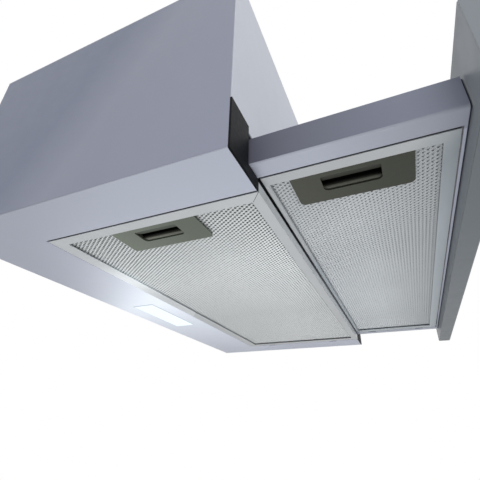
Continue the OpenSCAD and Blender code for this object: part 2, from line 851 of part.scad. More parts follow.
// Handle plate with its finger slot, and the pocket above it that guides the latch
module filter_handle(x0, handle_y) {
    slot_x = plate_x + slot_inset;
    in_x = plate_x + pocket_inset;
    color(handle_green) translate([0, handle_y, 0]) {
        linear_extrude(plate_t) difference() {
            union() {
                area([plate_x, -plate_l / 2], [plate_x + plate_w / 2, plate_l / 2]);
                round_area([plate_x, -plate_l / 2], [plate_x + plate_w, plate_l / 2], plate_r);
            }
            round_area([slot_x, -slot_l / 2], [slot_x + slot_w / 2, slot_l / 2], 2);
            round_area([slot_x + 3, -slot_l / 2], [slot_x + slot_w, slot_l / 2], slot_r);
        }
        along(-slot_l / 2, slot_l / 2) polygon([[slot_x - 1, plate_t], [slot_x, 0],
            [slot_x + ramp_w, ramp_d], [slot_x + ramp_w, ramp_d + plate_t], [slot_x, plate_t]]);
        difference() {
            block([in_x, -pocket_l / 2, plate_t], [in_x + pocket_w, pocket_l / 2, pocket_h]);
            block([in_x + pocket_t, -pocket_l / 2 + pocket_t, plate_t - eps],
                [in_x + pocket_w - pocket_t, pocket_l / 2 - pocket_t, pocket_h - pocket_t]);
            arm_slots(in_x - eps, in_x + pocket_t + eps, 0);
        }
    }
}

// Sliding latch: a round grip bar with a web across the pocket, and two arms past the keeper lip
module filter_latch(keeper, handle_y) {
    color(latch_dark) translate([0, handle_y, 0]) {
        bar_y(-grip_l / 2, grip_l / 2, grip_x, grip_z + grip_r, grip_r);
        block([grip_x + grip_r - grip_web, -grip_l / 2, grip_z + grip_r],
            [grip_x + grip_r, grip_l / 2, grip_z + grip_h]);
        for (side = [0, 1]) mirror([0, side, 0])
            block([keeper - sheet_t - latch_reach, arm_y, arm_z],
                [grip_x + grip_r / 2, arm_y + arm_w, arm_z + arm_t]);
    }
}

module rear_filter_frame() {
    in_hood() filter_frame(-filter_edge + latch_gap, filter_edge, rear_filter_y, rear_filter_d,
        [rear_rail_front, rear_rail_back], rear_tabs, rear_handle_y);
}

module rear_filter_mesh() {
    in_hood() filter_mesh(-filter_edge + latch_gap, filter_edge, rear_filter_y, rear_filter_d,
        [rear_rail_front, rear_rail_back], rear_handle_y);
}

module rear_filter_handle() {
    in_hood() filter_handle(-filter_edge + latch_gap, rear_handle_y);
}

module rear_filter_latch() {
    in_hood() filter_latch(-filter_edge, rear_handle_y);
}

module front_filter_frame() {
    in_hood() translate([0, 0, drawer_z]) filter_frame(-flange_edge + latch_gap, flange_edge,
        front_filter_y, front_filter_d, [front_rail_front, front_rail_back], front_tabs, -front_handle_y);
}

module front_filter_mesh() {
    in_hood() translate([0, 0, drawer_z]) filter_mesh(-flange_edge + latch_gap, flange_edge,
        front_filter_y, front_filter_d, [front_rail_front, front_rail_back], -front_handle_y);
}

module front_filter_handle() {
    in_hood() translate([0, 0, drawer_z]) filter_handle(-flange_edge + latch_gap, -front_handle_y);
}

module front_filter_latch() {
    in_hood() translate([0, 0, drawer_z]) filter_latch(-flange_edge, -front_handle_y);
}

// Lamp housing over the lens hole, open below
module lamp_housing() {
    rim = 5;
    wall = 1.5;
    color(white_plastic) in_hood() difference() {
        translate([0, lens_y, sheet_t]) linear_extrude(lamp_h)
            round_area([-lens_l / 2 - rim, -lens_w / 2 - rim], [lens_l / 2 + rim, lens_w / 2 + rim], 3);
        translate([0, lens_y, sheet_t - eps]) linear_extrude(lamp_h - wall + eps)
            area([-lens_l / 2 - rim + wall, -lens_w / 2 - rim + wall],
                [lens_l / 2 + rim - wall, lens_w / 2 + rim - wall]);
    }
}

// Metal-cored board with two rows of light emitters, facing down
module lamp_board() {
    board_t = 1.6;
    chip = 3;
    chip_n = 8;
    edge = 3;
    z = sheet_t + lamp_h - 1.5 - board_t;
    color(white_plastic) in_hood() translate([0, lens_y, 0]) {
        block([-lens_l / 2, -lens_w / 2 + edge, z], [lens_l / 2, lens_w / 2 - edge, z + board_t]);
        for (i = [0 : chip_n - 1], y = [-1, 1])
            translate([(i - (chip_n - 1) / 2) * lens_l / chip_n - chip / 2, y * lens_w / 5 - chip / 2, z - 1])
                cube([chip, chip, 1]);
    }
}

// Frosted lens: it fills the hole in the bottom frame and rests on it with a rim
module lamp_lens() {
    rim = 3;
    proud = 0.5;
    color(lamp_white) in_hood() translate([0, lens_y, 0]) {
        block([-lens_l / 2, -lens_w / 2, -proud], [lens_l / 2, lens_w / 2, sheet_t + 1.5]);
        block([-lens_l / 2 - rim, -lens_w / 2 - rim, sheet_t],
            [lens_l / 2 + rim, lens_w / 2 + rim, sheet_t + 1.5]);
    }
}

// Lamp driver on the bottom frame beside the lamp, with two fixing ears
module led_driver() {
    l = 60;
    w = 26;
    h = 18;
    ear = 8;
    x0 = lens_l / 2 + 20;
    color(white_plastic) in_hood() translate([x0, lens_y - w / 2, sheet_t]) {
        linear_extrude(h) round_area([0, 0], [l, w], 3);
        linear_extrude(2) difference() {
            round_area([-ear, w / 4], [l + ear, w * 3 / 4], 3);
            for (x = [-ear / 2, l + ear / 2]) translate([x, w / 2]) circle(screw_r);
        }
    }
}

// Outline of the air space of the scroll, up to the outlet
module scroll_space() {
    polygon(concat(spiral(0, 0), [[duct_front, scroll_top + eps], [duct_back - 4, scroll_top + eps]]));
}

// Outline of the scroll with its wall
module scroll_outline() {
    polygon(concat(spiral(scroll_t, 15),
        [[duct_front - scroll_t, scroll_top], [duct_back + scroll_t, scroll_top]]));
}

// Turns of the spiral at which an ear joins the two halves
ear_turns = [70, 150, 235, 285];

// Distance of the ear at turn s from the wheel's axis
function ear_reach(s) = scroll_r0 + scroll_growth * s / sweep + scroll_t + ear_r - 1;

// Turns and moves a piece from the wheel's axis out to the ear at turn s
module at_ear(s) {
    translate([0, axis_y, axis_z]) rotate([tongue_angle - s, 0, 0]) translate([0, ear_reach(s), 0])
        children();
}

// One half of the blower's scroll: a side with its inlet, half of the wrapper and the outlet flange
module scroll_half_part() {
    color(black_plastic) in_hood() {
        across(-scroll_half - scroll_t, -scroll_half) difference() {
            scroll_outline();
            translate([axis_y, axis_z]) circle(inlet_r, $fn = 96);
        }
        across(-scroll_half, 0) difference() {
            scroll_outline();
            scroll_space();
        }
        difference() {
            block([-collar_side / 2 + 4, mid_y - collar_side / 2 + 2, scroll_top - outlet_flange_t],
                [0, mid_y + collar_side / 2 - 2, scroll_top]);
            block([-scroll_half, duct_front, scroll_top - 2 * outlet_flange_t],
                [eps, duct_back - 4, scroll_top + eps]);
            for (y = [mid_y - screw_reach, mid_y + screw_reach])
                translate([-screw_reach, y, scroll_top - 2 * outlet_flange_t])
                    cylinder(h = 3 * outlet_flange_t, r = screw_r + hole_clear);
        }
        for (s = ear_turns) at_ear(s) difference() {
            union() {
                bar_x(-ear_t, 0, 0, 0, ear_r);
                block([-ear_t, 1 - ear_r - scroll_t, -ear_r + 1], [0, 0, ear_r - 1]);
            }
            bar_x(-2 * ear_t, ear_t, 0, 0, screw_r + hole_clear);
        }
    }
}

module scroll_left() {
    scroll_half_part();
}

module scroll_right() {
    mirror([1, 0, 0]) scroll_half_part();
}

// Rounded inlet ring: a sleeve through the scroll's side with a rolled outer edge
module inlet_ring() {
    sleeve_t = 1.8;
    roll_r = 2;
    outer = inlet_r + 8;
    depth = scroll_half + scroll_t - wheel_l / 2 - 1.6;
    color(white_plastic) in_hood() translate([-scroll_half - scroll_t, axis_y, axis_z]) rotate([0, 90, 0])
        rotate_extrude($fn = 96) {
            area([inlet_r - side_clear - sleeve_t, -roll_r], [inlet_r - side_clear, depth]);
            area([inlet_r - side_clear - sleeve_t, -roll_r], [outer, 0]);
            translate([outer, -roll_r / 2]) circle(roll_r / 2);
        }
}

module inlet_ring_left() {
    inlet_ring();
}

module inlet_ring_right() {
    mirror([1, 0, 0]) inlet_ring();
}

// Three-armed bracket that carries the motor in the left inlet
module motor_bracket() {
    x0 = -scroll_half - scroll_t;
    arm_l = inlet_r + bracket_reach;
    stand = 6;
    plate = 3.5;
    hub_r = 22;
    arm_half = 5;
    color(steel) in_hood() translate([0, axis_y, axis_z]) difference() {
        union() {
            bar_x(x0 - stand, x0 - stand + plate, 0, 0, hub_r);
            for (a = [30, 150, 270]) rotate([a, 0, 0]) {
                block([x0 - stand, 0, -arm_half], [x0 - stand + plate, arm_l, arm_half]);
                bar_x(x0 - stand, x0, arm_l, 0, arm_half);
            }
        }
        bar_x(x0 - 2 * stand, x0, 0, 0, shaft_r + 4);
    }
}

// Motor inside the wheel: a round can with a bearing boss at each end
module motor() {
    x0 = -scroll_half - scroll_t - 2.5;
    boss_r = 12;
    boss_l = 3;
    band_r = motor_r + 1;
    color(zinc) in_hood() translate([0, axis_y, axis_z]) difference() {
        union() {
            bar_x(x0, x0 + motor_l, 0, 0, motor_r);
            bar_x(x0 + motor_l * 0.35, x0 + motor_l * 0.65, 0, 0, band_r);
            bar_x(x0 + motor_l, x0 + motor_l + boss_l, 0, 0, boss_r);
        }
        bar_x(x0 - eps, x0 + motor_l + boss_l + eps, 0, 0, shaft_r + shaft_clear);
    }
}

// Motor shaft that carries the wheel
module motor_shaft() {
    color(steel) in_hood() bar_x(-scroll_half, hub_x() + hub_l(), axis_y, axis_z, shaft_r);
}

// Near end and length of the wheel's hub
function hub_x() = -scroll_half - scroll_t - 2.5 + motor_l + 4.5;
function hub_l() = 14;

// Double-inlet wheel: curved blades between two rings, on one disc and hub
module impeller() {
    ring_t = 2;
    disc_x = hub_x() + 2;
    arc_r = 6;
    blade_reach = (wheel_r - blade_inner_r) / 2 - 0.3;
    color(white_plastic) in_hood() translate([0, axis_y, axis_z]) {
        for (i = [0 : blade_n - 1]) rotate([i * 360 / blade_n, 0, 0])
            across(-wheel_l / 2 + ring_t / 2, wheel_l / 2 - ring_t / 2)
                translate([(wheel_r + blade_inner_r) / 2, arc_r]) difference() {
                    circle(arc_r);
                    circle(arc_r - blade_t);
                    translate([-2 * arc_r, -2.6]) square(4 * arc_r);
                    translate([-3 * arc_r - blade_reach, -2 * arc_r]) square([3 * arc_r, 4 * arc_r]);
                    translate([blade_reach, -2 * arc_r]) square([3 * arc_r, 4 * arc_r]);
                }
        for (x = [-wheel_l / 2, wheel_l / 2 - ring_t]) across(x, x + ring_t) difference() {
            circle(wheel_r + 1, $fn = 96);
            circle(blade_inner_r, $fn = 96);
        }
        difference() {
            union() {
                bar_x(disc_x, disc_x + ring_t, 0, 0, wheel_r);
                bar_x(hub_x(), hub_x() + hub_l(), 0, 0, 11);
            }
            bar_x(hub_x() - eps, hub_x() + hub_l() + eps, 0, 0, shaft_r + shaft_clear);
        }
    }
}

// Duct collar: square flange, round spigot, flap seat, middle bar and hinge bosses
module outlet_collar() {
    bar_half = 1.2;
    boss_half = 3;
    color(black_plastic) in_hood() translate([0, mid_y, 0]) {
        translate([0, 0, body_h]) linear_extrude(collar_t) difference() {
            round_area([-collar_side / 2, -collar_side / 2], [collar_side / 2, collar_side / 2], 8);
            circle(seat_r, $fn = 96);
            for (x = [-screw_reach, screw_reach], y = [-screw_reach, screw_reach])
                translate([x, y]) circle(screw_r + hole_clear);
        }
        translate([0, 0, collar_z]) linear_extrude(duct_h) difference() {
            circle(duct_r, $fn = 96);
            circle(duct_in, $fn = 96);
        }
        translate([0, 0, collar_z]) linear_extrude(seat_z - collar_z) difference() {
            circle(duct_in + duct_t / 2, $fn = 96);
            circle(seat_r, $fn = 96);
        }
        block([-seat_r - 1, -bar_half, body_h], [seat_r + 1, bar_half, seat_z]);
        for (side = [0, 1]) mirror([side, 0, 0]) difference() {
            intersection() {
                block([boss_x, -flap_axis - boss_half, seat_z - 1],
                    [duct_r, flap_axis + boss_half, pivot_z + boss_half]);
                translate([0, 0, body_h]) cylinder(h = duct_h, r = duct_in + duct_t / 2, $fn = 96);
            }
            for (y = [-1, 1]) bar_x(boss_x - eps, duct_in - 0.5, y * flap_axis, pivot_z, pivot_r + run_clear);
        }
    }
}

// Non-return flap: half a disc with a barrel and two stub pins along its straight edge
module flap() {
    barrel_x = boss_x - 1;
    flap_r = duct_in - 1.3;
    color(white_plastic) in_hood() translate([0, mid_y, 0]) {
        translate([0, 0, flap_z]) linear_extrude(flap_t) difference() {
            circle(flap_r, $fn = 96);
            area([-duct_r, -duct_r], [duct_r, flap_axis]);
            for (side = [0, 1]) mirror([side, 0])
                area([barrel_x, 0], [duct_r, flap_axis + 5.6]);
        }
        bar_x(-barrel_x, barrel_x, flap_axis, pivot_z, curl_r);
        bar_x(-duct_in + 1.2, duct_in - 1.2, flap_axis, pivot_z, pivot_r);
    }
}

module flap_rear() {
    flap();
}

module flap_front() {
    mirror([0, 1, 0]) flap();
}

// Screws that clamp the collar, the top plate and the scroll's outlet flange
module collar_screws() {
    screw_end = scroll_top - outlet_flange_t - 1;
    color(steel) in_hood() for (x = [-1, 1], y = [-1, 1])
        translate([x * screw_reach, mid_y + y * screw_reach, 0]) {
            translate([0, 0, screw_end]) cylinder(h = collar_z - screw_end, r = screw_r);
            translate([0, 0, collar_z]) cylinder(h = screw_head_t, r = screw_head_r);
        }
}

// Screws through the ears of the scroll's halves
module blower_screws() {
    color(steel) in_hood() for (s = ear_turns) at_ear(s) {
        bar_x(-ear_t, ear_t, 0, 0, screw_r);
        bar_x(-ear_t - screw_head_t, -ear_t, 0, 0, screw_head_r);
    }
}

// Screws that hold the fascia to the drawer's front wall
module drawer_screws() {
    color(steel) in_hood() fascia_screw_places() {
        bar_y(fascia_y - sheet_t - 2, fascia_y + sheet_t, 0, 0, screw_r);
        bar_y(fascia_y + sheet_t, fascia_y + sheet_t + screw_head_t, 0, 0, screw_head_r);
    }
}

// Control box under the top plate, open below
module control_box() {
    top = body_h - sheet_t;
    color(white_plastic) in_hood() translate([box_x, box_y, top - box_h]) difference() {
        linear_extrude(box_h) round_area([0, 0], [box_l, box_d], 4);
        translate([0, 0, -eps]) linear_extrude(box_h - box_wall + eps)
            area([box_wall, box_wall], [box_l - box_wall, box_d - box_wall]);
    }
}

// Lid of the control box, with a rim that drops inside the box's walls
module control_box_lid() {
    rim_h = 3;
    gap = box_wall + 0.2;
    color(white_plastic) in_hood() translate([box_x, box_y, body_h - sheet_t - box_h - box_wall]) {
        linear_extrude(box_wall) round_area([0, 0], [box_l, box_d], 4);
        translate([0, 0, box_wall]) linear_extrude(rim_h) difference() {
            area([gap, gap], [box_l - gap, box_d - gap]);
            area([gap + box_wall, gap + box_wall], [box_l - gap - box_wall, box_d - gap - box_wall]);
        }
    }
}

// Terminal block inside the control box, with a row of wire holes
module terminal_block() {
    l = 60;
    w = 20;
    h = 22;
    hole_n = 5;
    side_gap = 20;
    z1 = body_h - sheet_t - box_wall;
    color(black_plastic) in_hood() translate([box_x + side_gap, box_y + box_d - 2 * w, z1 - h]) difference() {
        cube([l, w, h]);
        for (i = [0 : hole_n - 1])
            bar_y(-eps, w + eps, (i + 0.5) * l / hole_n, h / 2, 2.5);
    }
}

// Motor capacitor: a can that hangs from the top plate by its stud
module motor_capacitor() {
    stud_l = 4;
    z1 = body_h - sheet_t;
    color(zinc) in_hood() translate([box_x + box_l / 2, body_d - 36, z1]) {
        translate([0, 0, -stud_l]) cylinder(h = stud_l, r = 4);
        translate([0, 0, -stud_l - capacitor_l]) cylinder(h = capacitor_l, r = capacitor_r);
    }
}

// Cable gland through the top plate: dome, flange, thread and lock nut with a bore
module cable_gland() {
    flange_t = 3;
    dome_h = 9;
    thread_l = 6;
    nut_t = 3.5;
    p = gland_place();
    color(black_plastic) in_hood() translate([p.x, p.y, body_h]) difference() {
        union() {
            cylinder(h = flange_t, r = gland_r + 3, $fn = 6);
            translate([0, 0, flange_t]) cylinder(h = dome_h, r1 = gland_r + 1, r2 = gland_bore_r + 2);
            translate([0, 0, -sheet_t - thread_l]) cylinder(h = sheet_t + thread_l, r = gland_r);
            translate([0, 0, -sheet_t - nut_t]) cylinder(h = nut_t, r = gland_r + 4, $fn = 6);
        }
        translate([0, 0, -2 * thread_l]) cylinder(h = 4 * dome_h, r = gland_bore_r);
    }
}

// Microswitch places: behind the end of the pushed-in drawer's left arm
switch_x = -wall_x + sheet_t / 2;
switch_half = 4;
leaf_t = 0.6;
lever_y = arm_rear + drawer_travel + leaf_t + 0.4;
lever_z = drawer_top + 3;

// Microswitch body with its bracket to the side wall and two ears for the lever
module microswitch() {
    body_y = lever_y + 2.5;
    deep = 11;
    ear = 0.8;
    top = lever_z + 2;
    color(black_plastic) in_hood() {
        block([switch_x - switch_half, body_y, drawer_z + 8], [switch_x + switch_half, body_y + deep, top]);
        block([-inner_w, body_y + deep, drawer_z + 10],
            [switch_x + switch_half, body_y + deep + 1.5, drawer_top - 2]);
        difference() {
            for (side = [0, 1]) translate([switch_x, 0, 0]) mirror([side, 0, 0])
                block([switch_half - ear, lever_y - 1.8, lever_z - 2], [switch_half, body_y, top]);
            bar_x(switch_x - 2 * switch_half, switch_x + 2 * switch_half, lever_y, lever_z, 1 + run_clear);
        }
    }
}

// Lever of the microswitch: a leaf on a pivot pin
module microswitch_lever() {
    leaf_x = switch_half - 0.8 - run_clear;
    color(steel) in_hood() translate([switch_x, lever_y, lever_z]) {
        bar_x(-switch_half, switch_half, 0, 0, 1);
        bar_x(-leaf_x, leaf_x, 0, 0, 1.6);
        block([-leaf_x, -leaf_t, -16], [leaf_x, 0, 0]);
    }
}

casing_shell();
top_plate();
front_plate();
bottom_frame();
cheek_left();
cheek_right();
rail_carrier_left();
rail_carrier_right();
rail_fixed_left();
rail_fixed_right();
lamp_housing();
lamp_board();
lamp_lens();
led_driver();
scroll_left();
scroll_right();
inlet_ring_left();
inlet_ring_right();
motor_bracket();
motor();
outlet_collar();
control_box();
control_box_lid();
motor_capacitor();
terminal_block();
cable_gland();
microswitch();
collar_screws();
blower_screws();
impeller();
motor_shaft();
flap_front();
flap_rear();
rear_filter_frame();
rear_filter_mesh();
rear_filter_handle();
rear_filter_latch();
drawer_frame();
drawer_crossbar();
fascia_shell();
fascia_back();
fascia_cap_left();
fascia_cap_right();
button_bezel();
button_board();
rail_drawer_left();
rail_drawer_right();
drawer_screws();
front_filter_frame();
front_filter_mesh();
front_filter_handle();
front_filter_latch();
rail_middle_left();
rail_middle_right();
button_light();
button_low();
button_medium();
button_high();
microswitch_lever();
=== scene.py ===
import math

import bmesh
import bpy
from mathutils import Matrix, Vector


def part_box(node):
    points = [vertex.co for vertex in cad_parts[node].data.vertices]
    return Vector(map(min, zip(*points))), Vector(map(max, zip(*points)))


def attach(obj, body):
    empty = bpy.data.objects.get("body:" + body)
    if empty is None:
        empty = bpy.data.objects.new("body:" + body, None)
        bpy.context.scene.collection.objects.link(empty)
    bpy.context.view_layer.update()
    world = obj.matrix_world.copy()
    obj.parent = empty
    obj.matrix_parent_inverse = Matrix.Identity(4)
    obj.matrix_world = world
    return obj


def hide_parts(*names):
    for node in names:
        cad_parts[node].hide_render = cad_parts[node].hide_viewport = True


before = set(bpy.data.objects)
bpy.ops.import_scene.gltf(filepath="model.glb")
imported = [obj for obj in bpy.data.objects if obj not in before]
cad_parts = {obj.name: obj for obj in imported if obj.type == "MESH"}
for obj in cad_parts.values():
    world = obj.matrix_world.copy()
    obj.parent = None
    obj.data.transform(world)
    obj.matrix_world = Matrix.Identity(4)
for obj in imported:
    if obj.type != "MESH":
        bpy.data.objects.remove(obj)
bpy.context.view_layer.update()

# Camera. It stands low at the hood's left front corner and looks up along the underside,
# with the lens and the place that the photograph's vanishing points give.
camera = bpy.data.objects.new("camera", bpy.data.cameras.new("camera"))
bpy.context.scene.collection.objects.link(camera)
camera.data.lens = 26.82
camera.data.sensor_width = 36
camera.data.clip_start = 0.02
camera.matrix_world = Matrix((
    (0.4071, -0.4349, -0.8032, -0.4456),
    (-0.9132, -0.1729, -0.3691, -0.2222),
    (0.0216, 0.8837, -0.4675, -0.3507),
    (0, 0, 0, 1),
))
bpy.context.scene.camera = camera


# Casing: one folded steel sheet for the sides and the back, with a flat top and a front sheet.
# All are powder coated a bluish grey, and the trimmed edges are slightly round.
class Wire:
    """A socket of a material; operators on it add Math nodes."""

    def __init__(self, tree, socket=None):
        self.tree = tree
        self.socket = socket

    def node(self, kind, values, out=0, **settings):
        """Adds a node: its settings first, then the values or wires of its sockets."""
        made = self.tree.nodes.new(kind)
        for key, value in settings.items():
            setattr(made, key, value)
        for key, value in values.items():
            if isinstance(value, Wire):
                self.tree.links.new(value.socket, made.inputs[key])
            else:
                made.inputs[key].default_value = value
        return Wire(self.tree, made.outputs[out])

    def math(self, operation, *values):
        return self.node("ShaderNodeMath", dict(enumerate(values)), operation=operation)

    def __add__(self, other):
        return self.math("ADD", self, other)

    def __sub__(self, other):
        return self.math("SUBTRACT", self, other)

    def __rsub__(self, other):
        return self.math("SUBTRACT", other, self)

    def __mul__(self, other):
        return self.math("MULTIPLY", self, other)

    def __lt__(self, other):
        return self.math("LESS_THAN", self, other)

    def __gt__(self, other):
        return self.math("GREATER_THAN", self, other)

    def __abs__(self):
        return self.math("ABSOLUTE", self)

    __radd__ = __add__
    __rmul__ = __mul__

    def at_least(self, other):
        return self.math("MAXIMUM", self, other)

    def axis(self, number):
        """One coordinate of this place: 0 is x, 1 is y and 2 is z."""
        return self.node("ShaderNodeSeparateXYZ", {0: self}, out=number)

    def ramp(self, start, end, low=0.0, high=1.0):
        """Goes from low at start to high at end, and stays level past both."""
        return self.node("ShaderNodeMapRange", {0: self, 1: start, 2: end, 3: low, 4: high})

    def pick(self, low, high):
        """A colour between low and high, as this mask says."""
        return self.node("ShaderNodeMix", {0: self, 6: low, 7: high}, out=2, data_type="RGBA")

    def dims(self, colour):
        """The colour with only this share of its light."""
        return self.pick((0, 0, 0, 1), colour)

    def feeds(self, shader, key):
        self.tree.links.new(self.socket, shader.inputs[key])


def tone(red, green, blue, gain=1.0):
    """A colour as a picture shows it, 0 to 255, as light."""
    return tuple(gain * (c / 255 / 12.92 if c < 11 else ((c / 255 + 0.055) / 1.055) ** 2.4)
                 for c in (red, green, blue)) + (1.0,)


def new_finish(name, constants):
    """A material, its shader with the constants on its own sockets, and its place on the object."""
    material = bpy.data.materials.new(name)
    material.use_nodes = True
    shader = material.node_tree.nodes["Principled BSDF"]
    for key, value in constants.items():
        shader.inputs[key].default_value = value
    place = Wire(material.node_tree).node("ShaderNodeTexCoord", {}, out="Object")
    return material, shader, place


def colour_of(shader, place):
    """The colour that already feeds a shader."""
    return Wire(place.tree, shader.inputs["Base Color"].links[0].from_socket)


def noise(place, scale, detail=2.0):
    return place.node("ShaderNodeTexNoise", {"Vector": place, "Scale": scale, "Detail": detail})


def bumped(shader, height, distance, strength):
    height.node("ShaderNodeBump", {"Height": height, "Distance": distance, "Strength": strength},
                out="Normal").feeds(shader, "Normal")


def powder_coat(name, dark, light, rough=0.34, specular=0.35):
    """Satin powder coat: faint clouds in its tone, dust in patches and a fine orange peel."""
    material, shader, place = new_finish(name, {"Specular IOR Level": specular})
    noise(place, scale=5.0, detail=3.0).pick(dark, light).feeds(shader, "Base Color")
    (noise(place, scale=60.0, detail=4.0) * 0.16 + rough).feeds(shader, "Roughness")
    bumped(shader, noise(place, scale=1400.0), distance=0.00002, strength=0.5)
    return material, shader, place


def softened(node, width, segments=2):
    """A CAD piece's own mesh, merged, with its sharp edges rounded."""
    same_point, flat, sharp_from = 1e-6, 0.01, 0.6
    shape = bmesh.new()
    shape.from_mesh(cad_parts[node].data)
    bmesh.ops.remove_doubles(shape, verts=shape.verts, dist=same_point)
    bmesh.ops.dissolve_limit(shape, angle_limit=flat, verts=shape.verts, edges=shape.edges)
    sharp = [e for e in shape.edges
             if len(e.link_faces) == 2 and e.calc_face_angle(0) > sharp_from]
    bmesh.ops.bevel(shape, geom=sharp, offset=width, offset_type="OFFSET", segments=segments,
                    profile=0.5, affect="EDGES", clamp_overlap=True, material=-1)
    return shape


def place_piece(name, shape, finish, body, nodes, smooth=True):
    """Makes a piece of a bmesh, rides it on its body and lets it stand for its CAD nodes."""
    mesh = bpy.data.meshes.new(name)
    shape.to_mesh(mesh)
    shape.free()
    mesh.materials.append(finish)
    piece = bpy.data.objects.new(name, mesh)
    bpy.context.scene.collection.objects.link(piece)
    if smooth:
        mesh.shade_smooth()
        mesh.set_sharp_from_angle(angle=math.radians(30))
        even = piece.modifiers.new("even", "WEIGHTED_NORMAL")
        even.keep_sharp = True
        even.weight = 100
    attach(piece, body)
    if nodes:
        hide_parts(*nodes)


trimmed_edge = 0.0003
casing_paint, shader, place = powder_coat("casing_paint", tone(160, 165, 184, gain=0.93),
                                          tone(160, 165, 184, gain=1.06))
# The light on the side wall falls off towards the back and the top, and turns bluer.
lit_to, dim_from = -0.101, -0.031
wall_light = (place.axis(1) + place.axis(2) * 0.6).ramp(lit_to, dim_from, 1.0, 0.67)
wall_light.pick((0, 0.043, 0.16, 1), colour_of(shader, place)).feeds(shader, "Base Color")
place_piece("casing", softened("casing_shell", trimmed_edge), casing_paint, "casing",
            ["casing_shell"])
for name, node, finish, skin in (("top_sheet", "top_plate", "sheet_paint", (176, 181, 194)),
                                 ("front_sheet", "front_plate", "front_paint", (196, 201, 213))):
    paint, shader, place = powder_coat(finish, tone(*skin, gain=0.93), tone(*skin, gain=1.06))
    place_piece(name, softened(node, trimmed_edge), paint, "casing", [node])

# Lamp: a frosted plastic lens fills a hole in the rear strip of the underside. It rests on the
# sheet with a rim, under a white housing and a board with light emitters.
lens_low, lens_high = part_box("lamp_lens")
lens_middle = (lens_low + lens_high) / 2
hidden_rim, dull_rim = 0.003, 0.0012
lit_half = (lens_high - lens_low) / 2 - Vector((1, 1, 1)) * (hidden_rim + dull_rim)
lens_plastic, shader, place = new_finish(
    "lens", {"Roughness": 0.5, "Base Color": tone(120, 126, 130), "Emission Strength": 1.0})
lit = ((abs(place.axis(0) - lens_middle.x) < lit_half.x)
       * (abs(place.axis(1) - lens_middle.y) < lit_half.y))
frost = (noise(place, scale=900.0) * 0.06).pick(tone(226, 236, 240), tone(214, 226, 238))
lit.pick(tone(172, 180, 186), frost).feeds(shader, "Emission Color")
place_piece("lens", softened("lamp_lens", width=0.0004), lens_plastic, "casing", ["lamp_lens"])


def dress(finish, *nodes):
    """Gives CAD nodes that keep their shape a finish."""
    for node in nodes:
        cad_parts[node].data.materials.clear()
        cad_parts[node].data.materials.append(finish)


white_plastic, shader, place = new_finish("white_plastic", {"Specular IOR Level": 0.4})
noise(place, scale=8.0, detail=3.0).pick(
    tone(222, 222, 218), tone(234, 234, 230)).feeds(shader, "Base Color")
(noise(place, scale=220.0, detail=3.0) * 0.15 + 0.42).feeds(shader, "Roughness")
bumped(shader, noise(place, scale=2500.0), distance=0.00002, strength=0.4)
dress(white_plastic, "lamp_housing", "lamp_board", "led_driver", "inlet_ring_left",
      "inlet_ring_right", "control_box", "control_box_lid", "impeller")


# Underside: a steel sheet in the casing's light grey that frames the rear filter. Its lips go up
# beside the filter and carry painted shade in the gap. The lamp's light is painted on it as a glow.
def lamp_glow(place):
    """How much of the lamp's light a point near the lens gets, 0 to 1."""
    across = place.axis(0) - lens_middle.x
    along = place.axis(1) - lens_middle.y
    to_the_left = (along * 0.9 - across - 0.040).at_least(0.0)
    to_the_right = (across + 0.055).at_least(0.0)
    past_the_lens = (abs(along) - 0.045).at_least(0.0)
    loss = to_the_left * to_the_left * 135.0 + to_the_right * 6.4 + past_the_lens * 22.0
    return loss.math("EXPONENT", loss * -1.0)


lamp_white = (0.9, 0.97, 1.0, 1)
lip_shadow = tone(44, 45, 58)
bend_height = 0.0014
underside_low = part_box("bottom_frame")[0].z
underside_paint, shader, place = powder_coat("underside_paint", tone(176, 181, 196),
                                             tone(184, 189, 203))
# Painted shade towards the rear left corner and on the lips, and the lamp's glow painted as
# emission.
rear_corner_light = (place.axis(1) - place.axis(0)).ramp(0.25, 0.34, 1.0, 0.88)
(place.axis(2) > underside_low + bend_height).pick(
    rear_corner_light.dims(colour_of(shader, place)), lip_shadow).feeds(shader, "Base Color")
(lamp_glow(place) * 0.50).dims(lamp_white).feeds(shader, "Emission Color")
shader.inputs["Emission Strength"].default_value = 1.0
place_piece("underside", softened("bottom_frame", trimmed_edge), underside_paint, "casing",
            ["bottom_frame"])

# Cheeks: two black plastic mouldings that close the front corners beside the drawer.
# Their skin has a fine spark-eroded grain.
cheek_plastic, shader, place = new_finish("cheek_plastic", {"Specular IOR Level": 0.12})
noise(place, scale=30.0, detail=3.0).pick(
    tone(8, 10, 13), tone(16, 18, 22)).feeds(shader, "Base Color")
(noise(place, scale=300.0) * 0.15 + 0.5).feeds(shader, "Roughness")
bumped(shader, noise(place, scale=3500.0), distance=0.00003, strength=0.5)
for side in ("left", "right"):
    place_piece("corner_cheek_" + side, softened("cheek_" + side, width=0.0005, segments=3),
                cheek_plastic, "casing", ["cheek_" + side])

# Slides: drawn steel members that nest in each other, and the folded carriers that hang them from
# the side walls. The middle members and the carriers are zinc plated, which shows as a faint
# crystal pattern.
zinc, shader, place = new_finish("zinc", {"Metallic": 0.75})
crystal = place.node("ShaderNodeTexVoronoi", {"Vector": place, "Scale": 160.0}, out="Color")
crystal_tone = crystal.node("ShaderNodeSeparateColor", {0: crystal}, out=0)
crystal_tone.pick(tone(172, 175, 178), tone(196, 199, 202)).feeds(shader, "Base Color")
(crystal_tone * 0.14 + 0.30).feeds(shader, "Roughness")
bumped(shader, crystal_tone, distance=0.00002, strength=0.3)
steel, shader, place = new_finish("steel", {"Metallic": 0.9})
drawn = place.node("ShaderNodeMapping", {"Vector": place, "Scale": (900.0, 25.0, 900.0)})
lines = noise(drawn, scale=1.0, detail=3.0)
lines.pick(tone(150, 152, 156), tone(184, 186, 190)).feeds(shader, "Base Color")
(lines * 0.20 + 0.24).feeds(shader, "Roughness")
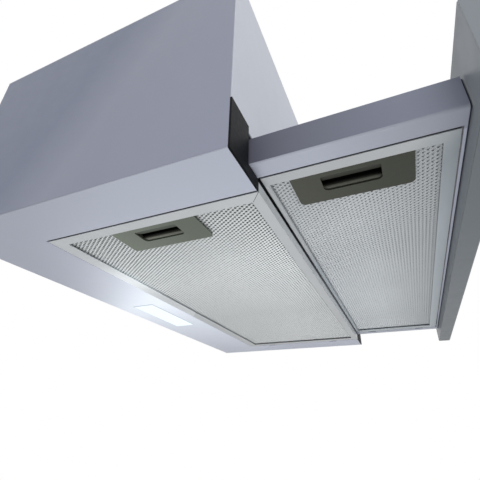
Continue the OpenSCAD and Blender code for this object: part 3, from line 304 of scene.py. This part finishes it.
bumped(shader, lines, distance=0.00001, strength=0.3)
dress(zinc, "rail_carrier_left", "rail_carrier_right", "rail_middle_left", "rail_middle_right",
      "motor", "motor_capacitor")
dress(steel, "rail_fixed_left", "rail_fixed_right", "rail_drawer_left", "rail_drawer_right",
      "motor_bracket", "motor_shaft", "microswitch_lever", "collar_screws", "blower_screws",
      "drawer_screws")


# Filter frames: folded aluminium channel, satin anodised and curled at the far end into two hinge
# tabs. One strip goes all the way round and ends in a mitre at the near front corner.
def aluminium(name, dark, light, rough, metallic):
    """Aluminium with fine grain and slight stains: the material, its shader and its place."""
    material, shader, place = new_finish(name, {"Metallic": metallic})
    grain = noise(place, scale=2200.0)
    stain = noise(place, scale=14.0, detail=4.0)
    (grain * 0.5 + stain * 0.5).pick(dark, light).feeds(shader, "Base Color")
    (stain * 0.16 + rough).feeds(shader, "Roughness")
    bumped(shader, grain, distance=0.00002, strength=0.4)
    return material, shader, place


channel_width, fold_height, outer_skin, seam_half = 0.0105, 0.0007, 0.0003, 0.00022
sheen_left_of_lens, sheen_width = 0.140, 0.02
for filter_name in ("rear", "front"):
    low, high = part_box(filter_name + "_filter_frame")
    depth = high.y - low.y
    frame_metal, shader, place = aluminium(
        filter_name + "_frame_metal", tone(205, 209, 212), tone(226, 230, 233),
        rough=0.30, metallic=0.35)
    colour = colour_of(shader, place)
    across = place.axis(0) - low.x
    along = place.axis(1) - low.y
    # How far past the mitre's line: below 0 on the left rail and above 0 on the front rail.
    mitre = across * 0.62 - along * 0.78
    wall = place.axis(2) > low.z + fold_height
    if filter_name == "rear":
        # Painted shade on the front rail, deeper towards the far end, and painted light on the
        # front wall.
        front_rail_shade = (mitre > 0.0) * across.ramp(0.0, 0.33, 0.04, 0.24)
        shade = 0.93 - front_rail_shade + wall * (along < outer_skin) * 0.32
        seam = (abs(mitre) < seam_half) * (across < channel_width)
        colour = seam.pick(shade.dims(colour), tone(96, 100, 102))
        # Painted highlight: the lamp's reflection along the rear rail, with a faint painted glow,
        # as emission.
        off_sheen = across + low.x - lens_middle.x + sheen_left_of_lens
        sheen = (off_sheen.math("EXPONENT", off_sheen * off_sheen * -600.0)
                 * (along > depth - sheen_width))
        (lamp_glow(place) * 0.06 + sheen * 0.34).dims(lamp_white).feeds(shader, "Emission Color")
        shader.inputs["Emission Strength"].default_value = 1.0
    else:
        # Painted shade: the frame darker towards its front rail, and the rear rail lighter at its
        # outer edge and darker at its inner edge. The front rail also takes a cooler tint.
        rear_rail_shade = ((along > depth - channel_width) * (across > channel_width)
                     * along.ramp(depth - 0.0040, depth - 0.0015, -0.14, 0.16))
        turned = mitre.ramp(-0.02, 0.006)
        shade = (mitre.ramp(-0.02, 0.012, 0.80, 0.60) + rear_rail_shade
                 - turned * across.ramp(0.0, 0.10, 0.07, -0.13))
        cool = noise(place, scale=14.0, detail=4.0).pick(tone(196, 206, 213), tone(214, 224, 231))
        colour = shade.dims(turned.pick(colour, cool))
    # Painted shade: the frame's outer wall on the left side is dark, as in a shaded gap.
    (wall * (across < outer_skin)).pick(colour, tone(104, 106, 112)).feeds(shader, "Base Color")
    place_piece(filter_name + "_channel", softened(filter_name + "_filter_frame", trimmed_edge),
                frame_metal, filter_name + "_filter", [filter_name + "_filter_frame"])


# Filter meshes: expanded aluminium in layers. Slit rows are pulled open, so each strand
# zigzags between its neighbours. The layers behind the face lie in its shade as one pack.
def painted_shading(shader, place, filter_name, left):
    """Paints shade on a mesh: its colour fades to a share of its light at the left, front, middle
    and right.
    """
    front, middle, right = {"rear": (0.90, 1.0, 0.79), "front": (0.70, 0.88, 1.0)}[filter_name]
    low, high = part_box(filter_name + "_filter_mesh")
    across, along = place.axis(0), place.axis(1)
    light = (across.ramp(low.x, low.x + 0.10, left, 1.0)
             * along.ramp(low.y, low.y + 0.07, front, 1.0)
             * across.ramp(high.x - 0.35, high.x - 0.20, middle, right))
    light.dims(colour_of(shader, place)).feeds(shader, "Base Color")


# Both filters are one aluminium; their different strand and pack tones and shares are painted light
# and shade.
strand_metal, pack_metal = {}, {}
for filter_name, dark, light, metallic, left in (
        ("rear", tone(236, 241, 243), tone(253, 255, 255), 0.08, 0.75),
        ("front", tone(194, 199, 203), tone(221, 225, 228), 0.15, 0.95)):
    strand_metal[filter_name], shader, place = aluminium(
        filter_name + "_strand_metal", dark, light, rough=0.34, metallic=metallic)
    painted_shading(shader, place, filter_name, left)
for filter_name, dark, light, left in (
        ("rear", tone(166, 171, 174), tone(228, 233, 235), 0.78),
        ("front", tone(220, 225, 230), tone(252, 254, 255), 0.50)):
    pack_metal[filter_name], shader, place = new_finish(
        filter_name + "_pack_metal", {"Metallic": 0.1, "Roughness": 0.6})
    cell = place.node("ShaderNodeTexVoronoi", {"Vector": place, "Scale": 420.0}, out="Distance")
    cell.pick(dark, light).feeds(shader, "Base Color")
    bumped(shader, cell, distance=0.0004, strength=0.6)
    painted_shading(shader, place, filter_name, left)


def block(shape, low, high):
    """Adds a box from one corner to the other."""
    low, high = Vector(low), Vector(high)
    bmesh.ops.create_cube(shape, size=1.0, matrix=Matrix.Translation((low + high) / 2)
                          @ Matrix.Diagonal((*(high - low), 1)))


def expanded_face(low, high, gap_end, gap_from, gap_to, width):
    """Rows of expanded metal over low to high; those in the latch pocket's way start past it."""
    long_pitch, short_pitch = 0.0041, 0.0030
    wave, lift, thick = 0.0010, 0.0002, 0.0003
    middle_height, tilt = 0.0011, math.radians(10)
    sheet = bmesh.new()
    start = Vector((low.x, high.y, low.z + middle_height))
    bmesh.ops.create_grid(sheet, x_segments=1, y_segments=1, size=0.5,
                          matrix=Matrix.Translation(start)
                          @ Matrix.Rotation(tilt, 4, "X")
                          @ Matrix.Rotation(math.radians(90), 4, "Y")
                          @ Matrix.Diagonal((thick, width, 1, 1)))
    tip = list(sheet.faces)
    bmesh.ops.translate(sheet, verts=sheet.verts, vec=(0, wave, -lift))
    for step in range(math.ceil((high.x - low.x) / long_pitch * 2)):
        swing = -1 if step % 2 == 0 else 1
        tip = bmesh.ops.extrude_discrete_faces(sheet, faces=tip)["faces"]
        bmesh.ops.translate(sheet, verts=tip[0].verts,
                            vec=(long_pitch / 2, 2 * wave * swing, -2 * lift * swing))
    strand = sheet.verts[:] + sheet.edges[:] + sheet.faces[:]
    for row in range(1, math.floor((high.y - low.y) / short_pitch)):
        copy = bmesh.ops.duplicate(sheet, geom=strand)["geom"]
        points = [g for g in copy if isinstance(g, bmesh.types.BMVert)]
        bmesh.ops.translate(sheet, verts=points,
                            vec=(-long_pitch / 2 * (row % 2), -row * short_pitch, 0))
        if gap_from - wave < high.y - row * short_pitch < gap_to + wave:
            cut_off = [v for v in points if v.co.x < gap_end]
            bmesh.ops.delete(sheet, geom=cut_off, context="VERTS")
    bmesh.ops.holes_fill(sheet, edges=[e for e in sheet.edges if e.is_boundary], sides=4)
    bmesh.ops.recalc_face_normals(sheet, faces=sheet.faces)
    return sheet


pocket_side, pocket_end = 0.0110, 0.0045
for filter_name, strand_width, face_depth in (("rear", 0.0022, 0.0021),
                                              ("front", 0.0025, 0.0016)):
    low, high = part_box(filter_name + "_filter_mesh")
    plate_low, plate_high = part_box(filter_name + "_filter_handle")
    gap_end = plate_high.x - pocket_end
    gap_from, gap_to = plate_low.y + pocket_side, plate_high.y - pocket_side
    face_low = Vector((plate_low.x - 0.002, low.y + 0.004, low.z))
    face_high = Vector((high.x - 0.007, high.y - 0.0018, high.z))
    face = expanded_face(face_low, face_high, gap_end, gap_from, gap_to, strand_width)
    place_piece(filter_name + "_mesh_face", face, strand_metal[filter_name],
                filter_name + "_filter", [filter_name + "_filter_mesh"],
                smooth=False)
    pack_low = low.z + face_depth
    pack = bmesh.new()
    block(pack, (gap_end, low.y, pack_low), (high.x, high.y, high.z))
    block(pack, (low.x, low.y, pack_low), (gap_end, gap_from, high.z))
    block(pack, (low.x, gap_to, pack_low), (gap_end, high.y, high.z))
    place_piece(filter_name + "_mesh_pack", pack, pack_metal[filter_name],
                filter_name + "_filter", [])


# Handles: green-grey plastic plates set into the mesh, each with a finger slot and a ramp that
# leads a fingertip in. The latch's round grip bar lies along the far side of the slot.
def handle_plastic(name, skin, rim, plate_low, plate_high):
    """Matt moulded plastic with a fine grain. Over its rim it has painted shade, black deep in the
    pocket. It is paler towards the plate's end at high y.
    """
    pocket_at, pocket_half_width, pocket_half_length, pocket_top = 0.0175, 0.0141, 0.0296, 0.0096
    dark = tone(*skin, gain=0.94)
    paler = tuple(1.5 * c for c in dark[:3]) + (1,)
    darker = tuple(0.66 * c for c in dark[:3]) + (1,)
    material, shader, place = new_finish(name, {"Specular IOR Level": 0.2})
    across, along, height = place.axis(0), place.axis(1), place.axis(2) - rim
    moulded = noise(place, scale=40.0, detail=3.0).pick(dark, tone(*skin, gain=1.06))
    pale = along.ramp(plate_high.y - 0.07, plate_high.y).pick(moulded, paler)
    shaded = height.ramp(0.0001, 0.0003).pick(pale, darker)
    hollow = ((abs(across - (plate_low.x + pocket_at)) < pocket_half_width)
              * (abs(along - (plate_low.y + plate_high.y) / 2) < pocket_half_length)
              * (height < pocket_top))
    (height.ramp(0.0030, 0.0050) * hollow).pick(
        shaded, tone(12, 13, 11)).feeds(shader, "Base Color")
    (noise(place, scale=300.0) * 0.12 + 0.46).feeds(shader, "Roughness")
    bumped(shader, noise(place, scale=3000.0), distance=0.00003, strength=0.4)
    return material


# Both handles are one plastic: the paler rear and darker front tones are painted light and shade.
grip_rim = 0.0012
for filter_name, plate_skin, grip_skin in (("rear", (100, 106, 97), (108, 110, 102)),
                                           ("front", (64, 66, 59), (76, 78, 71))):
    plate = filter_name + "_filter_handle"
    grip = filter_name + "_filter_latch"
    low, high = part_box(plate)
    place_piece(filter_name + "_handle", softened(plate, width=0.00025),
                handle_plastic(filter_name + "_handle_plastic", plate_skin, low.z, low, high),
                filter_name + "_filter", [plate])
    place_piece(filter_name + "_grip", softened(grip, width=0.0003),
                handle_plastic(filter_name + "_grip_plastic", grip_skin,
                               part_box(grip)[0].z + grip_rim, low, high),
                filter_name + "_latch", [grip])

# Drawer: a folded tray in the sheet's light grey with a crossbar. Its side walls carry painted
# shade, darker towards the casing, and its lips in the gaps carry painted shade too. The crossbar
# is black as painted shade, with painted light towards the right on its lower lip. It carries the
# front filter and the front panel.
tray_low, tray_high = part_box("drawer_frame")
casing_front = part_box("front_plate")[0].y
flange_inside, wall_skin, wall_bend, lip_bend = -0.247, 0.0006, 0.0020, 0.0008
tray_paint, shader, place = powder_coat("tray_paint", tone(172, 177, 191), tone(180, 185, 198),
                                        rough=0.36, specular=0.3)
across, along, height = place.axis(0), place.axis(1), place.axis(2) - tray_low.z
flange_shade = (across < flange_inside) * along.ramp(-0.27, -0.19, 0.24, -0.07)
sheet_tone = (0.93 - flange_shade).dims(colour_of(shader, place))
# Painted shade on the side walls, darker towards the casing.
wall_shade_tone = along.ramp(casing_front, tray_low.y).pick(tone(104, 106, 120), tone(150, 155, 173))
wall = (height > bend_height) * (abs(across) > tray_high.x - wall_skin)
lip = (height > lip_bend) * (abs(across) < tray_high.x - wall_bend)
lip.pick(wall.pick(sheet_tone, wall_shade_tone), lip_shadow).feeds(shader, "Base Color")
place_piece("drawer_tray", softened("drawer_frame", trimmed_edge), tray_paint, "drawer",
            ["drawer_frame"])
bar_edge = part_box("drawer_crossbar")[0].z + 0.0006
bar_paint, shader, place = powder_coat("bar_paint", tone(24, 25, 28, gain=0.93),
                                       tone(24, 25, 28, gain=1.06))
# Painted shade: the bar is black, with painted light on its lower lip towards the right.
painted_bar_light = place.axis(0).ramp(-0.20, 0.0)
(painted_bar_light * painted_bar_light * (1.0 - (place.axis(2) > bar_edge))).pick(
    colour_of(shader, place), tone(150, 152, 158)).feeds(shader, "Base Color")
place_piece("drawer_bar", softened("drawer_crossbar", trimmed_edge), bar_paint, "drawer",
            ["drawer_crossbar"])

# Front panel: a sheet bent round the top, the face and the bottom, closed by a flat back and two
# caps, all in a darker satin grey. The fold along the bottom is darker as painted shade, and the
# rest has painted shade from the left towards the middle.
panel_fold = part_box("fascia_shell")[0].z + 0.0005
fascia_paint, shader, place = powder_coat("fascia_paint", tone(140, 147, 153),
                                          tone(148, 155, 161), rough=0.32, specular=0.3)
face_tone = place.axis(0).ramp(-0.22, 0.0, 1.0, 0.71).dims(colour_of(shader, place))
(place.axis(2) > panel_fold).pick(tone(106, 112, 117), face_tone).feeds(shader, "Base Color")
for node in ("fascia_shell", "fascia_back", "fascia_cap_left", "fascia_cap_right"):
    place_piece(node.replace("fascia", "panel"), softened(node, trimmed_edge), fascia_paint,
                "drawer", [node])

# Push buttons: four glossy caps in a black bezel, with a green board behind them.
# The bezel sits in the panel's face, and each round cap slides in a hole of it.
black_plastic, shader, place = new_finish("black_plastic", {"Specular IOR Level": 0.4})
noise(place, scale=25.0, detail=3.0).pick(
    tone(24, 25, 27), tone(40, 41, 43)).feeds(shader, "Base Color")
(noise(place, scale=260.0, detail=3.0) * 0.16 + 0.40).feeds(shader, "Roughness")
bumped(shader, noise(place, scale=2600.0), distance=0.00003, strength=0.5)
board_green, shader, place = new_finish("board_green", {"Specular IOR Level": 0.5})
tracks = place.node("ShaderNodeTexVoronoi", {"Vector": place, "Scale": 300.0}, out="Distance")
(tracks < 0.35).pick(tone(24, 78, 48), tone(36, 104, 62)).feeds(shader, "Base Color")
(tracks * 0.2 + 0.3).feeds(shader, "Roughness")
button_gloss, shader, place = new_finish("button_gloss", {"Coat Roughness": 0.1})
noise(place, scale=60.0).pick(
    tone(226, 226, 222), tone(236, 236, 232)).feeds(shader, "Base Color")
(noise(place, scale=500.0) * 0.08 + 0.18).feeds(shader, "Roughness")
place_piece("bezel", softened("button_bezel", width=0.0003, segments=3), black_plastic, "drawer",
            ["button_bezel"])
dress(board_green, "button_board")
for role in ("light", "low", "medium", "high"):
    place_piece("cap_" + role, softened("button_" + role, width=0.0004, segments=3), button_gloss,
                "button_" + role, ["button_" + role])

# Blower and outlet: black plastic scroll halves and duct collar, white wheel, inlet rings and
# flaps, a zinc-plated motor, and the electrics beside them.
place_piece("duct_collar", softened("outlet_collar", width=0.0004), black_plastic, "casing",
            ["outlet_collar"])
place_piece("cord_gland", softened("cable_gland", width=0.0003), black_plastic, "casing",
            ["cable_gland"])
dress(black_plastic, "scroll_left", "scroll_right", "terminal_block", "microswitch")
dress(white_plastic, "flap_front", "flap_rear")

# Floor and studio light: a pale floor under the hood, soft lamps below and above it, and a white
# surround that only the camera and reflections see at full strength.
floor_half, floor_level = 3.0, -1.15
floor_mesh = bmesh.new()
bmesh.ops.create_grid(floor_mesh, x_segments=1, y_segments=1, size=floor_half,
                      matrix=Matrix.Translation((0, 0, floor_level)))
floor_data = bpy.data.meshes.new("floor")
floor_mesh.to_mesh(floor_data)
floor_mesh.free()
floor_material, shader, place = new_finish("floor", {"Roughness": 0.8})
noise(place, scale=3.0).pick(
    tone(232, 232, 232), tone(238, 238, 238)).feeds(shader, "Base Color")
floor_data.materials.append(floor_material)
floor = bpy.data.objects.new("floor", floor_data)
bpy.context.scene.collection.objects.link(floor)

lit_point = Vector((0, 0, -0.1))
for name, spot, size, power in (("lamp_below", (-0.03, -0.09, -0.74), 0.4, 1.9),
                                ("lamp_beside", (-0.80, -0.45, -0.38), 0.5, 1.5),
                                ("lamp_above", (-0.3, -1.0, 1.2), 1.8, 18.0)):
    light = bpy.data.objects.new(name, bpy.data.lights.new(name, "AREA"))
    light.data.size = size
    light.data.energy = power
    bpy.context.scene.collection.objects.link(light)
    turn = (lit_point - Vector(spot)).to_track_quat("-Z", "Y").to_matrix().to_4x4()
    light.matrix_world = Matrix.Translation(spot) @ turn
    light.visible_camera = False
    light.visible_glossy = False

fill_light, seen_white = 0.34, 1.0
world = bpy.data.worlds.new("studio")
bpy.context.scene.world = world
world.use_nodes = True
surround = world.node_tree.nodes["Background"]
surround.inputs["Color"].default_value = (1, 1, 1, 1)
rays = Wire(world.node_tree)
seen = (rays.node("ShaderNodeLightPath", {}, out="Is Camera Ray")
        .at_least(rays.node("ShaderNodeLightPath", {}, out="Is Glossy Ray"))
        .at_least(rays.node("ShaderNodeLightPath", {}, out="Is Transmission Ray")))
(seen * (seen_white - fill_light) + fill_light).feeds(surround, "Strength")
bpy.context.scene.view_settings.view_transform = "Standard"
